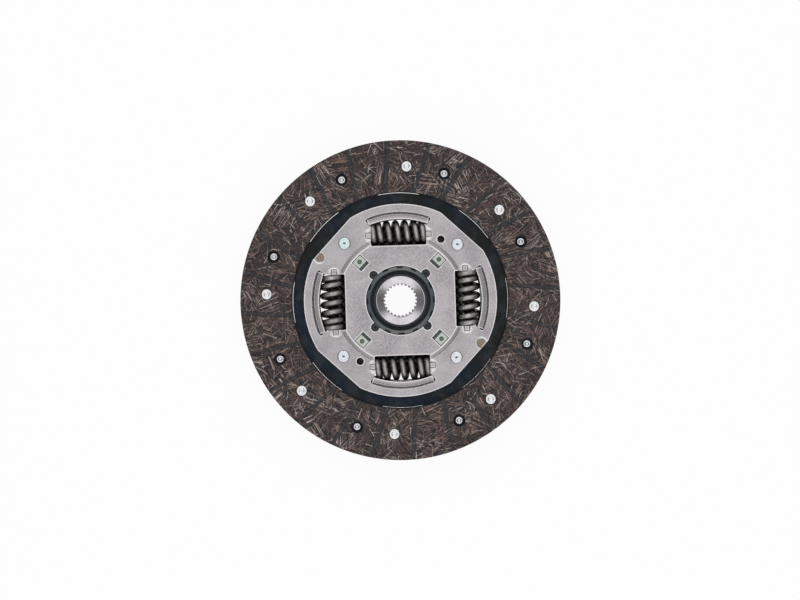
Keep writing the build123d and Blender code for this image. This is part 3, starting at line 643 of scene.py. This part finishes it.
finishes = {
    "friction_lining": friction_lining(),
    "blued_steel": blued_steel(),
    "rivet_metal": rivet_metal(),
    "bare_plate": bare_plate(),
    "zinc_steel": zinc_steel(),
    "hub_steel": hub_steel(),
    "dark_bush": dark_bush(),
    "washer_plastic": washer_plastic(),
    "ring_steel": ring_steel(),
    "spring_steel": spring_steel(),
}
slot_of = {part["node"]: part["material_slot"] for part in frame["record"]["subparts"]}
for node, solid in frame["nodes"].items():
    solid.data.materials.clear()
    solid.data.materials.append(finishes[slot_of[node]])


# Pieces made by Geometry Nodes

class Recipe(Nodes):
    """A Geometry Nodes tree with named inputs, run once and turned into a plain mesh."""

    def __init__(self, name, **kinds):
        super().__init__(bpy.data.node_groups.new(name, "GeometryNodeTree"))
        face = self.tree.interface
        self.keys = {}
        for label, kind in kinds.items():
            socket = face.new_socket(label, in_out="INPUT", socket_type="NodeSocket" + kind)
            self.keys[label] = socket.identifier
        face.new_socket("Geometry", in_out="OUTPUT", socket_type="NodeSocketGeometry")
        group = self.make("NodeGroupInput")
        for label in kinds:
            setattr(self, label, Value(self, group.outputs[label]))

    def close(self, shape):
        """Ends the tree: real geometry, smooth and with its material."""
        shape = self.add("GeometryNodeRealizeInstances", None, {0: shape})
        shape = self.add("GeometryNodeSetShadeSmooth", None,
                         {"Geometry": shape, "Shade Smooth": True})
        shape = self.add("GeometryNodeSetMaterial", None,
                         {"Geometry": shape, "Material": self.material})
        self.make("NodeGroupOutput", None, {0: shape})

    def run(self, name, **values):
        holder = bpy.data.objects.new(name + "_source", bpy.data.meshes.new(name + "_source"))
        bpy.context.scene.collection.objects.link(holder)
        modifier = holder.modifiers.new("recipe", "NODES")
        modifier.node_group = self.tree
        for label, value in values.items():
            modifier[self.keys[label]] = value
        graph = bpy.context.evaluated_depsgraph_get()
        mesh = bpy.data.meshes.new_from_object(holder.evaluated_get(graph), depsgraph=graph)
        mesh.name = name
        bpy.data.objects.remove(holder)
        piece = bpy.data.objects.new(name, mesh)
        bpy.context.scene.collection.objects.link(piece)
        return piece


def coil_recipe():
    """A compression spring with closed ends ground flat, laid across +X and then turned."""
    coil = Recipe("damper_spring", length="Float", wire_r="Float", mean_r="Float",
                  end_turns="Float", mid_turns="Float", end_pitch="Float", tip_in="Float",
                  circle_r="Float", height="Float", turn="Float", material="Material")
    line = coil.add("GeometryNodeMeshLine", {"mode": "OFFSET"}, {"Count": COIL_RINGS + 1})
    share = coil.add("GeometryNodeInputIndex") / COIL_RINGS
    turns = coil.end_turns * 2.0 + coil.mid_turns
    turned = share * turns
    middle = (turned - coil.end_turns).high(0.0).low(coil.mid_turns)
    mid_l = coil.length - (coil.tip_in + coil.end_turns * coil.end_pitch) * 2.0
    rise = coil.tip_in + (turned - middle) * coil.end_pitch + middle * mid_l / coil.mid_turns
    angle = turned * FULL_TURN
    centre_line = coil.vector(coil.mean_r * angle.cosine(), coil.mean_r * angle.sine(),
                              rise - coil.length * 0.5)
    line = coil.add("GeometryNodeSetPosition", None, {"Geometry": line, "Position": centre_line})
    path = coil.add("GeometryNodeMeshToCurve", None, {0: line})
    wire = coil.add("GeometryNodeCurvePrimitiveCircle", None,
                    {"Resolution": WIRE_SIDES, "Radius": coil.wire_r})
    body = coil.add("GeometryNodeCurveToMesh", None,
                    {"Curve": path, "Profile Curve": wire, "Fill Caps": True})
    x, y, z = coil.parts("ShaderNodeSeparateXYZ", None, {0: coil.add("GeometryNodeInputPosition")})
    ground = z.high(coil.length * -0.5).low(coil.length * 0.5)
    out, side, up = coil.circle_r - x, ground, y + coil.height
    cosine, sine = coil.turn.cosine(), coil.turn.sine()
    laid = coil.vector(out * cosine - side * sine, out * sine + side * cosine, up)
    coil.close(coil.add("GeometryNodeSetPosition", None, {"Geometry": body, "Position": laid}))
    return coil


def circle_recipe():
    """Copies of a small piece, evenly spaced round the axis."""
    circle = Recipe("round_the_axis", piece="Object", count="Int", radius="Float", start="Float",
                    material="Material")
    line = circle.add("GeometryNodeMeshLine", {"mode": "OFFSET"}, {"Count": circle.count})
    angle = circle.start + circle.add("GeometryNodeInputIndex") * FULL_TURN / circle.count
    spot = circle.vector(circle.radius * angle.cosine(), circle.radius * angle.sine(), 0.0)
    spots = circle.add("GeometryNodeSetPosition", None, {"Geometry": line, "Position": spot})
    piece = circle.add("GeometryNodeObjectInfo", None, {"Object": circle.piece}, "Geometry")
    facing = circle.vector(0.0, 0.0, angle)
    circle.close(circle.add("GeometryNodeInstanceOnPoints", None,
                            {"Points": spots, "Instance": piece, "Rotation": facing}))
    return circle


def lathe(name, outline, sides=40):
    """A turned piece from radius and height, listed from the top's middle to the bottom's."""
    shell = bmesh.new()
    rows = []
    for radius, height in outline:
        row = []
        for index in range(sides if radius else 1):
            angle = FULL_TURN * index / sides
            place = (radius * MM * cos(angle), radius * MM * sin(angle), height * MM)
            row.append(shell.verts.new(place))
        rows.append(row)
    for upper, lower in zip(rows, rows[1:]):
        for index in range(sides):
            after = (index + 1) % sides
            corners = [upper[index % len(upper)], lower[index % len(lower)],
                       lower[after % len(lower)], upper[after % len(upper)]]
            shell.faces.new(list(dict.fromkeys(corners)))   # a middle's corner counts once
    bmesh.ops.recalc_face_normals(shell, faces=shell.faces)
    mesh = bpy.data.meshes.new(name)
    shell.to_mesh(mesh)
    shell.free()
    piece = bpy.data.objects.new(name, mesh)
    bpy.context.scene.collection.objects.link(piece)
    return piece


# Outlines of radius and height. A lining rivet's tail is rolled over and hollow.
LINING_RIVET = (
    (0, 2.86), (0.55, 2.86), (0.85, 2.95), (1.10, 2.86), (1.40, 2.86), (1.62, 3.08),
    (1.85, 3.15), (2.60, 3.15), (3.15, 3.10), (3.38, 2.95), (3.45, 2.75), (3.45, 2.45),
    (3.36, 2.35), (1.90, 2.35), (1.90, -0.35), (2.25, -0.38), (2.38, -0.55), (2.40, -0.80),
    (2.28, -1.02), (2.00, -1.14), (1.60, -1.14), (1.28, -1.00), (1.08, -0.80), (0.95, -0.60),
    (0.60, -0.52), (0, -0.52),
)
STOP_RIVET = (
    (0, 2.50), (0.42, 2.52), (0.60, 2.80), (0.85, 2.90), (1.80, 2.93), (2.90, 2.95),
    (3.40, 2.90), (3.66, 2.72), (3.75, 2.50), (3.72, 2.25), (3.60, 2.15), (3.00, 2.15),
    (3.00, -0.35), (4.60, -0.35), (4.60, -8.15), (3.00, -8.15), (3.00, -9.95), (3.60, -9.95),
    (3.72, -10.05), (3.75, -10.30), (3.66, -10.52), (3.40, -10.70), (2.90, -10.75), (0, -10.75),
)


def turned_over(outline):
    return [(radius, -height) for radius, height in reversed(outline)]


def rivets():
    circle = circle_recipe()
    lining_circle = (LINING_RIVETS, LINING_RIVET_CIRCLE_R)
    kinds = (
        ("front_lining_rivets", LINING_RIVET, *lining_circle, FRONT_RIVET_TURN),
        ("back_lining_rivets", turned_over(LINING_RIVET), *lining_circle, BACK_RIVET_TURN),
        ("stop_rivets", STOP_RIVET, STOP_RIVETS, STOP_CIRCLE_R, STOP_TURN),
    )
    for node, outline, count, radius, start in kinds:
        one = lathe(node + "_one", outline)
        ring = circle.run(node + "_turned", piece=one, count=count, radius=radius * MM,
                          start=radians(start), material=finishes[slot_of[node]])
        bpy.data.objects.remove(one)
        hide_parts(node)
        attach(ring, "disc")


def damper_springs():
    coil = coil_recipe()
    wire_r = WIRE_R * MM
    for index, node in enumerate(("spring_right", "spring_top", "spring_left", "spring_bottom")):
        low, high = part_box(node)
        middle, size = (low + high) / 2, high - low
        turn = index * pi / 2
        length = max(size.x, size.y)
        outer_d = min(size.x, size.y)
        piece = coil.run(node + "_coil", length=length, wire_r=wire_r, mean_r=outer_d / 2 - wire_r,
                         end_turns=COIL_END_TURNS, mid_turns=COIL_MID_TURNS,
                         end_pitch=COIL_END_PITCH * MM, tip_in=COIL_TIP_IN * MM,
                         circle_r=middle.xy.length, height=middle.z, turn=turn,
                         material=finishes["spring_steel"])
        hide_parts(node)
        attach(piece, "springs")
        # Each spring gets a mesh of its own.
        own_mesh(piece)


rivets()
damper_springs()


# Camera, floor and light, in metres

PIXEL = 0.6247 * MM           # one pixel of the photograph at the lining's face
VIEW_W = 800 * PIXEL
SENSOR_W = 36.0
CAMERA_PLACE = (-0.018, 0.028, 1.5)
CAMERA_AIM = (-0.32 * MM, 0.24 * MM, LINING_FACE * MM)
CAMERA_ROLL = -1.84
LAMPS = (                     # name, place, width and length, and watts
    ("overhead", (0.0, 0.0, 2.0), (2.2, 2.2), 18.0),
    ("upper", (0.0, 1.35, 1.5), (2.9, 1.1), 15.0),
    ("lower", (0.0, -1.35, 1.5), (2.9, 1.1), 15.0),
)
FLOOR_HALF = 6.0
FLOOR_WHITE = 0.94            # share of its own light where the camera, mirrors or glass see it
SKY_LIGHT = 0.18              # strength of the world, which the camera itself sees as white


def look_down():
    """The camera stands a little aside, as the walls seen in the bore and the slots show."""
    place = Vector(CAMERA_PLACE)
    back = place - Vector(CAMERA_AIM)
    camera = bpy.data.cameras.new("camera")
    camera.sensor_width = SENSOR_W
    camera.lens = SENSOR_W * back.length / VIEW_W
    camera.clip_end = 20.0
    eye = bpy.data.objects.new("camera", camera)
    bpy.context.scene.collection.objects.link(eye)
    back.normalize()
    upward = Vector((-sin(radians(CAMERA_ROLL)), cos(radians(CAMERA_ROLL)), 0.0))
    right = upward.cross(back).normalized()
    facing = Matrix((right, back.cross(right), back)).transposed()
    eye.matrix_world = Matrix.Translation(place) @ facing.to_4x4()
    bpy.context.scene.camera = eye


def lamp(name, place, size, energy):
    """A soft rectangular lamp that faces the object."""
    light = bpy.data.lights.new(name, "AREA")
    light.shape = "RECTANGLE"
    light.size, light.size_y = size
    light.energy = energy
    stand = bpy.data.objects.new(name, light)
    bpy.context.scene.collection.objects.link(stand)
    stand.location = place
    stand.rotation_euler = (-Vector(place)).to_track_quat("-Z", "Y").to_euler()


def pale_floor():
    """A matt floor that the camera, mirrors and glass see as nearly white."""
    low = cad_box[0].z
    corners = [(-FLOOR_HALF, -FLOOR_HALF, low), (FLOOR_HALF, -FLOOR_HALF, low),
               (FLOOR_HALF, FLOOR_HALF, low), (-FLOOR_HALF, FLOOR_HALF, low)]
    mesh = bpy.data.meshes.new("floor")
    mesh.from_pydata(corners, [], [(0, 1, 2, 3)])
    floor = bpy.data.objects.new("floor", mesh)
    bpy.context.scene.collection.objects.link(floor)
    material = bpy.data.materials.new("pale floor")
    material.use_nodes = True
    material.node_tree.nodes.clear()
    paint = Nodes(material.node_tree)
    rays = paint.make("ShaderNodeLightPath").outputs
    seen = Value(paint, rays["Is Camera Ray"]).high(Value(paint, rays["Is Glossy Ray"]))
    seen = seen.high(Value(paint, rays["Is Transmission Ray"]))
    matt = paint.add("ShaderNodeBsdfDiffuse", None, {"Color": (0.86, 0.86, 0.86)})
    white = paint.add("ShaderNodeEmission", None, {"Color": (1.0, 1.0, 1.0), "Strength": 1.0})
    mixed = paint.add("ShaderNodeMixShader", None, {0: seen * FLOOR_WHITE, 1: matt, 2: white})
    paint.make("ShaderNodeOutputMaterial", None, {"Surface": mixed})
    mesh.materials.append(material)


def studio():
    world = bpy.data.worlds.new("studio")
    world.use_nodes = True
    world.node_tree.nodes.clear()
    paint = Nodes(world.node_tree)
    seen = paint.add("ShaderNodeLightPath", output="Is Camera Ray")
    strength = seen * (1.0 - SKY_LIGHT) + SKY_LIGHT
    sky = paint.add("ShaderNodeBackground", None, {"Color": (1.0, 1.0, 1.0), "Strength": strength})
    paint.make("ShaderNodeOutputWorld", None, {"Surface": sky})
    bpy.context.scene.world = world
    for name, place, size, energy in LAMPS:
        lamp(name, place, size, energy)


look_down()
pale_floor()
studio()
bpy.context.scene.view_settings.view_transform = "Standard"
